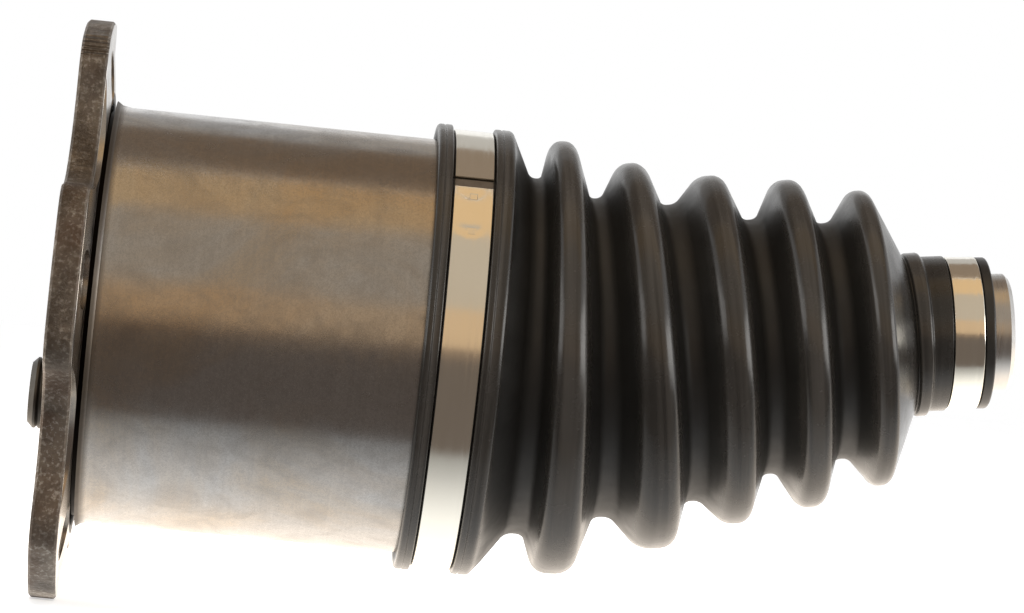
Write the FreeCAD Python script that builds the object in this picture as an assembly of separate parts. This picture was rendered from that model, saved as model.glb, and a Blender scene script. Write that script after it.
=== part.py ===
import FreeCAD, Part
import math
import os

# The inner end of a flanged drive shaft: a tripod joint in a round steel housing under a rubber boot.
# Millimetres. X runs along the housing from the flange's mounting face towards the shaft, and Z is up.
# The shaft stands at its resting angle, tilted up in the plane of X and Z.

# Flange: lobes that carry the bolts, with round scallops between them
lobe_count = 5
bolt_circle = 108.0
bolt_hole = 10.5
bolt_edge_width = 12.0
flange_thickness = 6.2
first_bolt_angle = 172.0
scallop_over_can = 2.7
scallop_radius = 22.0
lobe_corner_radius = 9.0
flange_edge_bevel = 0.6
hole_bevel = 0.6
shoulder_height = 1.2
shoulder_edge_width = 6.0
shoulder_set_back = 0.9
bolt_seat_width = 1.2

# Housing: the round cup that holds the tripod
can_radius = 47.1
can_end_x = 95.8
can_end_bevel = 1.0
undercut_width = 1.0
undercut_depth = 1.2
root_flare_height = 1.2
root_flare_length = 3.4
floor_thickness = 14.0
centre_hole_radius = 18.0
bore_radius = 24.0
track_floor_gap = 2.8
track_corner_radius = 6.0
mouth_bevel_length = 6.0
mouth_bevel_depth = 5.0
boot_groove_offset = 6.5
boot_groove_width = 3.6
boot_groove_depth = 0.8

# End cover: a pressed cup in the back of the flange
cover_radius = 22.5
cover_depth = 3.4
cover_wall = 1.2
cover_recess = 0.6
cover_gap = 0.04

# Locating dowel in the mounting face
dowel_radius = 7.8
dowel_length = 11.0
dowel_stand_out = 3.3
dowel_to_can_outside = 10.3
dowel_place_angle = 209.5
dowel_bevel = 1.2
dowel_groove_width = 0.8
dowel_groove_depth = 0.5
dowel_gap = 0.05

# Tripod: where its centre rests, its resting angle and its roller circle
joint_centre_x = 69.4
resting_tilt = 6.4
roller_circle_radius = 26.0
carried_trunnion_extra = 0.33
trunnion_count = 3
first_trunnion_angle = -90.0

# Rollers: an outer ring with a ball seat, an inner roller and needles on each trunnion
trunnion_radius = 8.0
needle_radius = 1.25
needle_gap = 0.02
needle_play = 0.12
needle_short_of_roller = 1.0
roller_wall = 2.46
seat_gap = 0.08
ring_wall = 2.92
ring_width = 12.0
ring_side_gap = 0.75
washer_wall = 2.9
washer_thickness = 0.8
washer_bore_gap = 0.05
circlip_thickness = 1.2
circlip_wall = 1.9
circlip_groove_depth = 0.8
trunnion_overhang = 1.2
trunnion_bevel = 0.8
side_play = 0.15

# Spider: the hub that carries the trunnions
hub_radius = 17.0
hub_half_length = 11.0
hub_bevel = 1.5
trunnion_root_step = 1.6

# Shaft bar
bar_radius = 13.9
neck_depth = 1.7
neck_end = 64.0
neck_taper = 6.0
spline_teeth = 24
spline_tip_radius = 12.6
spline_tooth_depth = 1.1
spline_gap = 0.05
spline_beyond_hub = 4.5
spline_lead_in = 1.5
bar_clip_thickness = 1.6
bar_clip_wall = 3.2
bar_clip_groove_depth = 1.0
clip_gap = 0.05
clip_opening_angle = 50.0
stub_length = 5.0
stub_step = 0.4
stub_bevel = 1.0
centre_drill_radius = 2.6
centre_drill_depth = 4.0

# Boot: a big cuff on the housing, convolutions, and a small cuff on the bar
boot_wall = 2.3
cone_end_wall = 1.4
cuff_length_on_can = 15.1
cuff_wall = 1.9
cuff_rim_height = 1.8
cuff_rim_width = 3.7
cuff_ridge_height = 1.7
cuff_seat_width = 9.1
cuff_round = 0.6
# The length of a step in the rubber, such as the side of a clamp's seat
seat_step = 0.1
cuff_shoulder_length = 2.6
can_boot_gap = 0.05
bar_boot_gap = 0.1
# Each valley is a place along the boot beyond the end of the can, and an outer radius
valleys = [(9.9, 40.5), (26.6, 36.3), (45.3, 33.9), (63.6, 29.1), (80.3, 27.0)]
# Each peak is a place, an outer radius and half the width of its tip
peaks = [(17.2, 49.2, 2.7), (36.8, 44.0, 3.4), (55.0, 39.8, 2.5), (72.7, 37.5, 2.6), (88.5, 33.8, 1.8)]
valley_half_width = 1.8
tip_flat_share = 0.6
tip_drop = 1.5
# Inside, the tips are narrower and the valleys wider, so that the steep walls keep their thickness
inner_tip_share = 0.55
inner_valley_extra = 1.5
cone_end_place = 97.7
small_cuff_wall = 2.7
small_cuff_height = 1.1
neck_lip_height = 2.1
neck_lip_length = 3.7
small_seat_width = 7.2
end_lip_height = 0.7
end_lip_length = 2.4
bend_start = 2.1
bend_length = 37.3
bend_back_start = 98.7
bend_back_length = 7.5

# Clamps: a band whose outer end lies over its inner end, with two pressed squares
clamp_thickness = 0.8
large_clamp_width = 8.8
small_clamp_width = 7.0
clamp_gap = 0.05
large_overlap_start = 131.4
large_overlap_turn = 70.0
small_overlap_start = 60.0
small_overlap_turn = 110.0
press_width = 2.0
press_depth = 0.3
press_spacing = 10.6
press_from_end = 3.3

# Sizes that follow from the ones above
flange_radius = bolt_circle / 2 + bolt_edge_width
scallop_bottom_radius = can_radius + scallop_over_can
flange_front = flange_thickness + shoulder_height
dowel_place_radius = can_radius - dowel_to_can_outside
needle_circle_radius = trunnion_radius + needle_gap + needle_radius
needle_length = ring_width - needle_short_of_roller
roller_bore_radius = trunnion_radius + 2 * (needle_radius + needle_gap)
seat_radius = roller_bore_radius + roller_wall
ring_radius = seat_radius + seat_gap + ring_wall
trunnion_reach = (
    ring_width / 2 + side_play + washer_thickness + circlip_thickness + trunnion_overhang
)
track_depth_radius = roller_circle_radius + carried_trunnion_extra + trunnion_reach + track_floor_gap
trunnion_root_radius = trunnion_radius + trunnion_root_step
spline_root_radius = spline_tip_radius - spline_tooth_depth
bar_clip_groove_radius = spline_tip_radius - bar_clip_groove_depth
neck_radius = bar_radius - neck_depth
stub_radius = bar_radius - stub_step
cuff_seat_radius = can_radius + cuff_wall
cuff_rim_radius = cuff_seat_radius + cuff_rim_height
cuff_ridge_radius = cuff_seat_radius + cuff_ridge_height
small_seat_radius = bar_radius + small_cuff_wall
small_cuff_radius = small_seat_radius + small_cuff_height
neck_lip_radius = small_seat_radius + neck_lip_height
end_lip_radius = small_seat_radius + end_lip_height
needle_count = int(math.pi / math.asin((needle_radius + needle_play / 2) / needle_circle_radius))

X_AXIS = FreeCAD.Vector(1, 0, 0)
Y_AXIS = FreeCAD.Vector(0, 1, 0)
ORIGIN = FreeCAD.Vector(0, 0, 0)


def turned(points):
    """A solid turned about X from an outline of (x, radius) points."""
    outline = Part.makePolygon([FreeCAD.Vector(x, 0, r) for x, r in points + points[:1]])
    return Part.Face(outline).revolve(ORIGIN, X_AXIS, 360)


def rod(radius, start, end):
    """A round bar along X."""
    return Part.makeCylinder(radius, end - start, FreeCAD.Vector(start, 0, 0), X_AXIS)


def polar(radius, angle, x=0.0):
    """A point at a radius from X, with its angle counted from +Y towards +Z."""
    turn = math.radians(angle)
    return FreeCAD.Vector(x, radius * math.cos(turn), radius * math.sin(turn))


def joined(first, others):
    """Several solids fused into one, with the seams between like faces removed."""
    return first.fuse(others).removeSplitter()


def placed(shape, placement):
    """A copy of a shape moved to a placement."""
    copy = shape.copy()
    copy.Placement = placement.multiply(copy.Placement)
    return copy


def opened_ring(inner, outer, start, end, opening):
    """A ring about X with a gap of some degrees in it, as a circlip has."""
    sweep = 360.0 - opening
    middle = [(start, inner), (end, inner), (end, outer), (start, outer)]
    outline = Part.makePolygon([FreeCAD.Vector(x, 0, r) for x, r in middle + middle[:1]])
    ring = Part.Face(outline).revolve(ORIGIN, X_AXIS, sweep)
    ring.rotate(ORIGIN, X_AXIS, opening / 2)
    return ring


# Where the tripod stands
tilt = math.radians(resting_tilt)
carried_length = roller_circle_radius + carried_trunnion_extra
joint_centre_z = carried_length * math.cos(tilt) - roller_circle_radius
joint_centre = FreeCAD.Vector(joint_centre_x, 0, joint_centre_z)
shaft_direction = FreeCAD.Vector(math.cos(tilt), 0, math.sin(tilt))
shaft_place = FreeCAD.Placement(joint_centre, FreeCAD.Rotation(Y_AXIS, -resting_tilt))


def trunnion_angle(number):
    """The angle about the bar of one trunnion, from +Y towards +Z."""
    return first_trunnion_angle + 360.0 / trunnion_count * number


def trunnion_turn(number):
    """The turn that lays Z along one trunnion."""
    return FreeCAD.Placement(ORIGIN, FreeCAD.Rotation(X_AXIS, trunnion_angle(number) - 90.0))


def roller_distance(number):
    """How far one roller's middle stands from the middle of the tripod."""
    return carried_length if number == 0 else roller_circle_radius


# The boot's centre line: straight out of the cuff, a bow, and back onto the line of the bar
boot_start = can_end_x - cuff_length_on_can
bow_from = can_end_x + bend_start
bow_full = bow_from + bend_length
back_from = can_end_x + bend_back_start
back_done = back_from + bend_back_length
ROUTE_STEP = 0.5


def heading(along, bow):
    """The boot's direction at a place along it, in radians above X."""
    if along <= bow_from:
        return 0.0
    if along <= bow_full:
        return bow * (along - bow_from) / bend_length
    if along <= back_from:
        return bow
    if along <= back_done:
        return bow + (tilt - bow) * (along - back_from) / bend_back_length
    return tilt


def route_point(along, bow):
    """The point of the boot's centre line at a place along it."""
    steps = max(1, int(along / ROUTE_STEP))
    step = along / steps
    turns = [heading((n + 0.5) * step, bow) for n in range(steps)]
    x = sum(math.cos(turn) for turn in turns) * step
    z = sum(math.sin(turn) for turn in turns) * step
    return FreeCAD.Vector(x, 0, z)


def off_the_bar(bow):
    """How high the boot's small end lies above the bar's axis for one bow."""
    reach = route_point(back_done, bow) - joint_centre
    return reach.z * math.cos(tilt) - reach.x * math.sin(tilt)


def bow_that_meets_the_bar():
    """The bow that brings the boot's small end onto the bar's axis, found by halving."""
    low, high = -1.0, 1.0
    for _ in range(50):
        middle = (low + high) / 2
        if off_the_bar(middle) < 0:
            low = middle
        else:
            high = middle
    return (low + high) / 2


boot_bow = bow_that_meets_the_bar()
small_end_reach = (route_point(back_done, boot_bow) - joint_centre).dot(shaft_direction)


def along_bar(along):
    """The distance from the tripod's middle, along the bar, of a place on the boot's small end."""
    return small_end_reach + along - back_done


small_seat_start = back_done - seat_step
small_seat_end = small_seat_start + small_seat_width
boot_end = small_seat_end + end_lip_length
bar_end = along_bar(boot_end) + stub_length


def boot_ring(along, radius):
    """A circle round the boot's centre line."""
    ring = Part.Wire(Part.makeCircle(radius, ORIGIN, X_AXIS))
    turn = FreeCAD.Rotation(Y_AXIS, -math.degrees(heading(along, boot_bow)))
    return placed(ring, FreeCAD.Placement(route_point(along, boot_bow), turn))


def boot_skin(stations):
    """A closed skin through circles at (place along the boot, radius)."""
    return Part.makeLoft([boot_ring(along, radius) for along, radius in stations], True, True)


def scallop_tools(set_back):
    """The round cutters between the lobes, set further into the flange by a distance."""
    step = 360.0 / lobe_count
    tools = []
    for number in range(lobe_count):
        middle = polar(
            scallop_bottom_radius + scallop_radius, first_bolt_angle + step * (number + 0.5), -1
        )
        tools.append(
            Part.makeCylinder(scallop_radius + set_back, flange_front + 2, middle, X_AXIS)
        )
    return tools


def make_shoulder():
    """The low cone that thickens the flange from its lobes towards the cup."""
    foot_radius = flange_radius - shoulder_edge_width
    cone = turned(
        [
            (flange_thickness / 2, 0),
            (flange_thickness / 2, foot_radius),
            (flange_thickness, foot_radius),
            (flange_front, scallop_bottom_radius),
            (flange_front, 0),
        ]
    )
    return cone.cut(scallop_tools(shoulder_set_back))


def make_flange():
    """The scalloped plate with its bolt lobes."""
    plate = rod(flange_radius, 0, flange_thickness).cut(scallop_tools(0))
    corners = []
    for edge in plate.Edges:
        start, end = edge.Vertexes[0].Point, edge.Vertexes[-1].Point
        radius = math.hypot(start.y, start.z)
        if abs(start.x - end.x) > flange_thickness / 2 and abs(radius - flange_radius) < 0.01:
            if math.hypot(start.y - end.y, start.z - end.z) < 0.01 and touches_scallop(start):
                corners.append(edge)
    plate = plate.makeFillet(lobe_corner_radius, corners)
    rims = [e for e in plate.Edges if abs(e.BoundBox.XLength) < 0.001]
    return plate.makeChamfer(flange_edge_bevel, rims)


def touches_scallop(point):
    """Whether a point of the flange's rim is a corner with a scallop."""
    step = 360.0 / lobe_count
    for number in range(lobe_count):
        middle = polar(
            scallop_bottom_radius + scallop_radius, first_bolt_angle + step * (number + 0.5), point.x
        )
        if abs((point - middle).Length - scallop_radius) < 0.01:
            return True
    return False


def make_cavity():
    """The hollow that the tripod runs in: a middle bore and three tracks with flat parallel walls."""
    length = can_end_x - floor_thickness + 1
    half_width = ring_radius + ring_side_gap
    tracks = []
    for number in range(trunnion_count):
        corner = FreeCAD.Vector(floor_thickness, -half_width, 0)
        track = Part.makeBox(length, 2 * half_width, track_depth_radius, corner)
        deep_edges = [
            e
            for e in track.Edges
            if e.BoundBox.XLength > length / 2 and e.BoundBox.ZMin > track_depth_radius / 2
        ]
        track = track.makeFillet(track_corner_radius, deep_edges)
        tracks.append(placed(track, trunnion_turn(number)))
    bore = rod(bore_radius, floor_thickness, can_end_x + 1)
    return bore.fuse(tracks)


def make_joint_housing():
    """The flange and the round cup in one forging, turned outside and with tracks inside."""
    waist = can_radius - undercut_depth
    can_start = flange_front + undercut_width
    groove_start = can_end_x - boot_groove_offset - boot_groove_width / 2
    groove_end = groove_start + boot_groove_width
    groove_radius = can_radius - boot_groove_depth
    cup = turned(
        [
            (0, 0),
            (0, waist),
            (can_start, waist),
            (can_start, can_radius + root_flare_height),
            (can_start + root_flare_length / 3, can_radius + root_flare_height / 3),
            (can_start + root_flare_length, can_radius),
            (groove_start - boot_groove_depth, can_radius),
            (groove_start, groove_radius),
            (groove_end, groove_radius),
            (groove_end + boot_groove_depth, can_radius),
            (can_end_x - can_end_bevel, can_radius),
            (can_end_x, can_radius - can_end_bevel),
            (can_end_x, 0),
        ]
    )
    body = joined(make_flange(), [make_shoulder(), cup])
    cover_seat = rod(cover_radius + cover_gap, -1, cover_recess + cover_depth)
    centre_hole = rod(centre_hole_radius, -1, floor_thickness + 1)
    dowel_hole = Part.makeCylinder(
        dowel_radius + dowel_gap,
        dowel_length - dowel_stand_out + 1,
        polar(dowel_place_radius, dowel_place_angle, -1),
        X_AXIS,
    )
    mouth = turned(
        [
            (can_end_x - mouth_bevel_length, 0),
            (can_end_x - mouth_bevel_length, bore_radius),
            (can_end_x + 1, bore_radius + mouth_bevel_depth * (1 + 1 / mouth_bevel_length)),
            (can_end_x + 1, 0),
        ]
    )
    hole_radius = bolt_hole / 2
    seat_top = flange_front + undercut_width / 2
    bolt_hole_tool = turned(
        [
            (-1, 0),
            (-1, hole_radius),
            (flange_thickness - hole_bevel, hole_radius),
            (flange_thickness, hole_radius + hole_bevel),
            (flange_thickness, hole_radius + bolt_seat_width),
            (seat_top, hole_radius + bolt_seat_width),
            (seat_top, 0),
        ]
    )
    holes = []
    for number in range(lobe_count):
        middle = polar(bolt_circle / 2, first_bolt_angle + 360.0 / lobe_count * number)
        holes.append(placed(bolt_hole_tool, FreeCAD.Placement(middle, FreeCAD.Rotation())))
    return body.cut([make_cavity(), cover_seat, centre_hole, dowel_hole, mouth] + holes)


def make_end_cover():
    """The pressed cup that closes the middle hole, open side out."""
    back = cover_recess + cover_depth
    return turned(
        [
            (cover_recess, cover_radius),
            (back, cover_radius),
            (back, 0),
            (back - cover_wall, 0),
            (back - cover_wall, cover_radius - 2 * cover_wall),
            (back - 2 * cover_wall, cover_radius - cover_wall),
            (cover_recess, cover_radius - cover_wall),
        ]
    )


def make_locating_dowel():
    """The round dowel that stands out of the mounting face, with a bevelled end and a groove."""
    tip = -dowel_stand_out
    groove = tip / 2
    dowel = turned(
        [
            (tip, 0),
            (tip, dowel_radius - dowel_bevel),
            (tip + dowel_bevel, dowel_radius),
            (groove, dowel_radius),
            (groove + dowel_groove_width / 2, dowel_radius - dowel_groove_depth),
            (groove + dowel_groove_width, dowel_radius),
            (dowel_length + tip, dowel_radius),
            (dowel_length + tip, 0),
        ]
    )
    return placed(dowel, FreeCAD.Placement(polar(dowel_place_radius, dowel_place_angle), FreeCAD.Rotation()))


def boot_outside():
    """The outer circles of the boot, from the big cuff to the end lip."""
    seat_start = boot_start + cuff_rim_width
    seat_end = seat_start + cuff_seat_width
    shoulder_end = can_end_x + cuff_shoulder_length
    stations = [
        (boot_start, cuff_rim_radius - cuff_round),
        (boot_start + cuff_round, cuff_rim_radius),
        (seat_start - cuff_round, cuff_rim_radius),
        (seat_start, cuff_rim_radius - cuff_round),
        (seat_start + seat_step, cuff_seat_radius),
        (seat_end - seat_step, cuff_seat_radius),
        (seat_end, cuff_rim_radius - cuff_round),
        (seat_end + cuff_round, cuff_ridge_radius),
        (shoulder_end - cuff_round, cuff_ridge_radius),
        (shoulder_end, cuff_ridge_radius - 1.5 * cuff_round),
    ]
    for (valley_place, floor), (peak_place, top, half) in zip(valleys, peaks):
        low = can_end_x + valley_place
        high = can_end_x + peak_place
        flat = half * tip_flat_share
        stations += [
            (low - valley_half_width, floor),
            (low + valley_half_width, floor),
            (high - half, top - tip_drop),
            (high - flat, top),
            (high + flat, top),
            (high + half, top - tip_drop),
        ]
    lip_start = can_end_x + cone_end_place
    stations += [
        (lip_start, small_cuff_radius),
        (lip_start + cuff_round, neck_lip_radius),
        (lip_start + neck_lip_length - cuff_round, neck_lip_radius),
        (lip_start + neck_lip_length, small_cuff_radius),
        (small_seat_start - seat_step, small_cuff_radius),
        (small_seat_start, small_seat_radius),
        (small_seat_end, small_seat_radius),
        (small_seat_end + seat_step, end_lip_radius),
        (boot_end - cuff_round, end_lip_radius),
        (boot_end, end_lip_radius - cuff_round),
    ]
    return stations


def boot_inside():
    """The inner circles of the boot, run past both of its ends."""
    can = can_radius + can_boot_gap
    bead = can - boot_groove_depth
    bead_middle = can_end_x - boot_groove_offset
    bead_half = boot_groove_width / 2 - can_boot_gap
    bar = bar_radius + bar_boot_gap
    shoulder = can_end_x + can_boot_gap
    stations = [
        (boot_start - 1, can),
        (bead_middle - bead_half - boot_groove_depth, can),
        (bead_middle - bead_half, bead),
        (bead_middle + bead_half, bead),
        (bead_middle + bead_half + boot_groove_depth, can),
        (shoulder, can),
        (shoulder + seat_step, can - boot_wall),
        (can_end_x + cuff_shoulder_length - boot_wall / 2, can - boot_wall),
    ]
    valley_half = valley_half_width + inner_valley_extra
    for (valley_place, floor), (peak_place, top, half) in zip(valleys, peaks):
        low = can_end_x + valley_place
        high = can_end_x + peak_place
        flat = half * inner_tip_share
        stations += [
            (low - valley_half, floor - boot_wall),
            (low + valley_half, floor - boot_wall),
            (high - flat, top - boot_wall),
            (high + flat, top - boot_wall),
        ]
    stations += [
        (can_end_x + cone_end_place - boot_wall / 2, small_cuff_radius - cone_end_wall),
        (back_done, bar),
        (boot_end + 1, bar),
    ]
    return stations


def make_boot():
    """The rubber bellows, drawn as it rests with the shaft at its angle."""
    return boot_skin(boot_outside()).cut(boot_skin(boot_inside()))


def make_band(inner, width, overlap_start, overlap_turn):
    """A band clamp about X: its outer end lies over the inner end and slopes down onto the band."""
    outer = inner + clamp_thickness
    top = outer + clamp_thickness
    overlap_end = overlap_start + overlap_turn
    slope_middle = overlap_start + overlap_turn / 2
    left = -width / 2
    round_the_rest = Part.Arc(
        polar(outer, overlap_end, left),
        polar(outer, slope_middle + 180, left),
        polar(outer, overlap_start + 360, left),
    )
    end_step = Part.LineSegment(polar(outer, overlap_start, left), polar(top, overlap_start, left))
    slope = Part.Arc(
        polar(top, overlap_start, left),
        polar((top + outer) / 2, slope_middle, left),
        polar(outer, overlap_end, left),
    )
    outline = Part.Wire([curve.toShape() for curve in (round_the_rest, end_step, slope)])
    disc = Part.Face(outline).extrude(FreeCAD.Vector(width, 0, 0))
    band = disc.cut(rod(inner, left - 1, width / 2 + 1))
    turn_for_one = math.degrees(1 / top)
    half_width = press_width / 2
    squares = []
    for number in range(2):
        turn = overlap_start + turn_for_one * (press_from_end + press_spacing * number)
        floor = top - clamp_thickness * (turn - overlap_start) / overlap_turn - press_depth
        corner = FreeCAD.Vector(-half_width, floor, -half_width)
        square = Part.makeBox(press_width, clamp_thickness, press_width, corner)
        square.rotate(ORIGIN, X_AXIS, turn)
        squares.append(square)
    return band.cut(squares)


def make_large_clamp():
    """The band round the big cuff."""
    band = make_band(
        cuff_seat_radius + clamp_gap, large_clamp_width, large_overlap_start, large_overlap_turn
    )
    middle = boot_start + cuff_rim_width + cuff_seat_width / 2
    return placed(band, FreeCAD.Placement(FreeCAD.Vector(middle, 0, 0), FreeCAD.Rotation()))


def make_small_clamp():
    """The band round the small cuff, in line with the bar."""
    band = make_band(
        small_seat_radius + clamp_gap, small_clamp_width, small_overlap_start, small_overlap_turn
    )
    middle = along_bar((small_seat_start + small_seat_end) / 2)
    band.translate(FreeCAD.Vector(middle, 0, 0))
    return placed(band, shaft_place)


def spline_tooth_corners(root, tip):
    """The corners of one gap and one tooth, each a radius and a share of the pitch."""
    gap_share = 0.3
    flank_share = 0.12
    tooth_end = 1.0 - flank_share
    return [(root, 0.0), (root, gap_share), (tip, gap_share + flank_share), (tip, tooth_end)]


def spline(root, tip, start, end):
    """A toothed bar along X, with its gaps at one radius and its teeth at another."""
    pitch = 360.0 / spline_teeth
    points = []
    for tooth in range(spline_teeth):
        for radius, share in spline_tooth_corners(root, tip):
            points.append(polar(radius, pitch * (tooth + share), start))
    outline = Part.makePolygon(points + points[:1])
    return Part.Face(outline).extrude(FreeCAD.Vector(end - start, 0, 0))


def make_spider():
    """The hub with its three trunnions, splined inside."""
    hub = turned(
        [
            (-hub_half_length, 0),
            (-hub_half_length, hub_radius - hub_bevel),
            (hub_bevel - hub_half_length, hub_radius),
            (hub_half_length - hub_bevel, hub_radius),
            (hub_half_length, hub_radius - hub_bevel),
            (hub_half_length, 0),
        ]
    )
    arms = []
    for number in range(trunnion_count):
        distance = roller_distance(number)
        root_end = distance - ring_width / 2 - side_play
        clip_start = distance + ring_width / 2 + side_play + washer_thickness
        clip_end = clip_start + circlip_thickness
        tip = clip_end + trunnion_overhang
        groove = trunnion_radius - circlip_groove_depth
        arm = turned(
            [
                (0, 0),
                (0, trunnion_root_radius),
                (root_end, trunnion_root_radius),
                (root_end, trunnion_radius),
                (clip_start, trunnion_radius),
                (clip_start, groove),
                (clip_end, groove),
                (clip_end, trunnion_radius),
                (tip - trunnion_bevel, trunnion_radius),
                (tip, trunnion_radius - trunnion_bevel),
                (tip, 0),
            ]
        )
        arms.append(placed(arm, standing_up(number)))
    body = joined(hub, arms)
    bore = spline(
        spline_root_radius + spline_gap,
        spline_tip_radius + spline_gap,
        -hub_half_length - 1,
        hub_half_length + 1,
    )
    return placed(body.cut(bore), shaft_place)


def standing_up(number):
    """The turn that lays X along one trunnion, before the bar's own placement."""
    return trunnion_turn(number).multiply(FreeCAD.Placement(ORIGIN, FreeCAD.Rotation(Y_AXIS, -90)))


def on_trunnion(shape, number):
    """A shape drawn along X from the tripod's middle, set on one trunnion."""
    return placed(shape, shaft_place.multiply(standing_up(number)))


def bar_clip_starts():
    """Where the two circlips that hold the spider begin along the bar."""
    far = hub_half_length + clip_gap
    return -far - bar_clip_thickness, far


def make_shaft_bar():
    """The splined bar, necked beside the joint, with a turned and bevelled end."""
    start = -hub_half_length - spline_beyond_hub
    spline_end = hub_half_length + spline_beyond_hub
    seat_end = along_bar(boot_end) + clip_gap
    bar = turned(
        [
            (spline_end, 0),
            (spline_end, neck_radius),
            (neck_end, neck_radius),
            (neck_end + neck_taper, bar_radius),
            (seat_end, bar_radius),
            (seat_end, stub_radius),
            (bar_end - stub_bevel, stub_radius),
            (bar_end, stub_radius - stub_bevel),
            (bar_end, centre_drill_radius),
            (bar_end - centre_drill_depth, 0),
        ]
    )
    toothed = spline(spline_root_radius, spline_tip_radius, start, spline_end)
    tip_cone = turned(
        [
            (start, 0),
            (start, spline_root_radius),
            (start + spline_lead_in, spline_tip_radius + clip_gap),
            (spline_end - spline_lead_in, spline_tip_radius + clip_gap),
            (spline_end, spline_root_radius),
            (spline_end, 0),
        ]
    )
    toothed = toothed.common(tip_cone)
    grooves = []
    for clip_start in bar_clip_starts():
        clip_end = clip_start + bar_clip_thickness + clip_gap
        grooves.append(
            turned(
                [
                    (clip_start - clip_gap, bar_clip_groove_radius),
                    (clip_end, bar_clip_groove_radius),
                    (clip_end, spline_tip_radius + 1),
                    (clip_start - clip_gap, spline_tip_radius + 1),
                ]
            )
        )
    toothed = toothed.cut(grooves)
    return placed(bar.fuse(toothed), shaft_place)


def make_bar_clip(start):
    """One circlip that holds the spider on the bar."""
    inner = bar_clip_groove_radius + clip_gap
    outer = bar_clip_groove_radius + bar_clip_wall
    ring = opened_ring(inner, outer, start, start + bar_clip_thickness, clip_opening_angle)
    return placed(ring, shaft_place)


def ball_turned(radius, bore, width, ball_outside):
    """A ring about X: a ball outside and a round bore, or a ball seat inside a ball outside."""
    half = width / 2
    ball = Part.makeSphere(radius)
    ring = ball.common(rod(radius + 1, -half, half))
    inside = rod(bore, -half - 1, half + 1) if ball_outside else Part.makeSphere(bore)
    return ring.cut(inside)


def make_outer_ring(number):
    """The ring that rolls along one track, with a ball seat inside."""
    ring = ball_turned(ring_radius, seat_radius + seat_gap, ring_width, False)
    if number == 0:
        # This ring stays square to its track while the roller inside it tips
        reach = FreeCAD.Vector(math.sin(tilt), 0, -math.cos(tilt)) * carried_length
        square = FreeCAD.Placement(joint_centre + reach, FreeCAD.Rotation(Y_AXIS, 90))
        return placed(ring, square)
    ring.translate(FreeCAD.Vector(roller_distance(number), 0, 0))
    return on_trunnion(ring, number)


def make_inner_roller(number):
    """The roller with a ball outside and a bore for the needles."""
    roller = ball_turned(seat_radius, roller_bore_radius, ring_width, True)
    roller.translate(FreeCAD.Vector(roller_distance(number), 0, 0))
    return on_trunnion(roller, number)


def make_needle_set(number):
    """The loose needles round one trunnion."""
    start = roller_distance(number) - needle_length / 2
    needles = []
    for place in range(needle_count):
        middle = polar(needle_circle_radius, 360.0 / needle_count * place, start)
        needles.append(Part.makeCylinder(needle_radius, needle_length, middle, X_AXIS))
    return on_trunnion(Part.makeCompound(needles), number)


def make_needle_washer(number):
    """The washer that keeps the needles and the roller on one trunnion."""
    start = roller_distance(number) + ring_width / 2 + side_play
    ring = turned(
        [
            (start, trunnion_radius + washer_bore_gap),
            (start + washer_thickness, trunnion_radius + washer_bore_gap),
            (start + washer_thickness, trunnion_radius + washer_wall),
            (start, trunnion_radius + washer_wall),
        ]
    )
    return on_trunnion(ring, number)


def make_trunnion_circlip(number):
    """The circlip outside one needle washer."""
    start = roller_distance(number) + ring_width / 2 + side_play + washer_thickness
    ring = opened_ring(
        trunnion_radius - circlip_groove_depth + clip_gap,
        trunnion_radius + circlip_wall,
        start,
        start + circlip_thickness,
        clip_opening_angle,
    )
    return on_trunnion(ring, number)


def make_all():
    """Every node of the joint, by name."""
    end_clip_start, stop_clip_start = bar_clip_starts()
    nodes = {
        "joint_housing": make_joint_housing(),
        "end_cover": make_end_cover(),
        "locating_dowel": make_locating_dowel(),
        "boot": make_boot(),
        "large_clamp": make_large_clamp(),
        "small_clamp": make_small_clamp(),
        "spider": make_spider(),
        "shaft_bar": make_shaft_bar(),
        "shaft_end_circlip": make_bar_clip(end_clip_start),
        "shaft_stop_circlip": make_bar_clip(stop_clip_start),
    }
    for number in range(trunnion_count):
        name = str(number + 1)
        nodes["outer_ring_" + name] = make_outer_ring(number)
        nodes["inner_roller_" + name] = make_inner_roller(number)
        nodes["needle_set_" + name] = make_needle_set(number)
        nodes["needle_washer_" + name] = make_needle_washer(number)
        nodes["trunnion_circlip_" + name] = make_trunnion_circlip(number)
    return nodes


os.makedirs("parts", exist_ok=True)
for node, shape in make_all().items():
    shape.exportStep("parts/" + node + ".step")
    print(node, "solids", len(shape.Solids), "valid", shape.isValid(), "volume", round(shape.Volume))
carried_ring_middle = joint_centre + FreeCAD.Vector(math.sin(tilt), 0, -math.cos(tilt)) * carried_length
print("joint centre", joint_centre, "carried ring middle", carried_ring_middle)
print("bow", round(math.degrees(boot_bow), 3), "bar end", round(bar_end, 3))
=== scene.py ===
# %% [markdown]
# The inner joint of a car's drive shaft: a scalloped flange and a round steel housing, a ribbed rubber
# boot, band clamps and a stub of bar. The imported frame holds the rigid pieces. This script photographs
# them: it gives each one its finish, and remakes the boot and the clamps with softer, finer forms.

# %% Load the frame
import math

import bmesh
import bpy
from mathutils import Matrix, Vector


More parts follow.
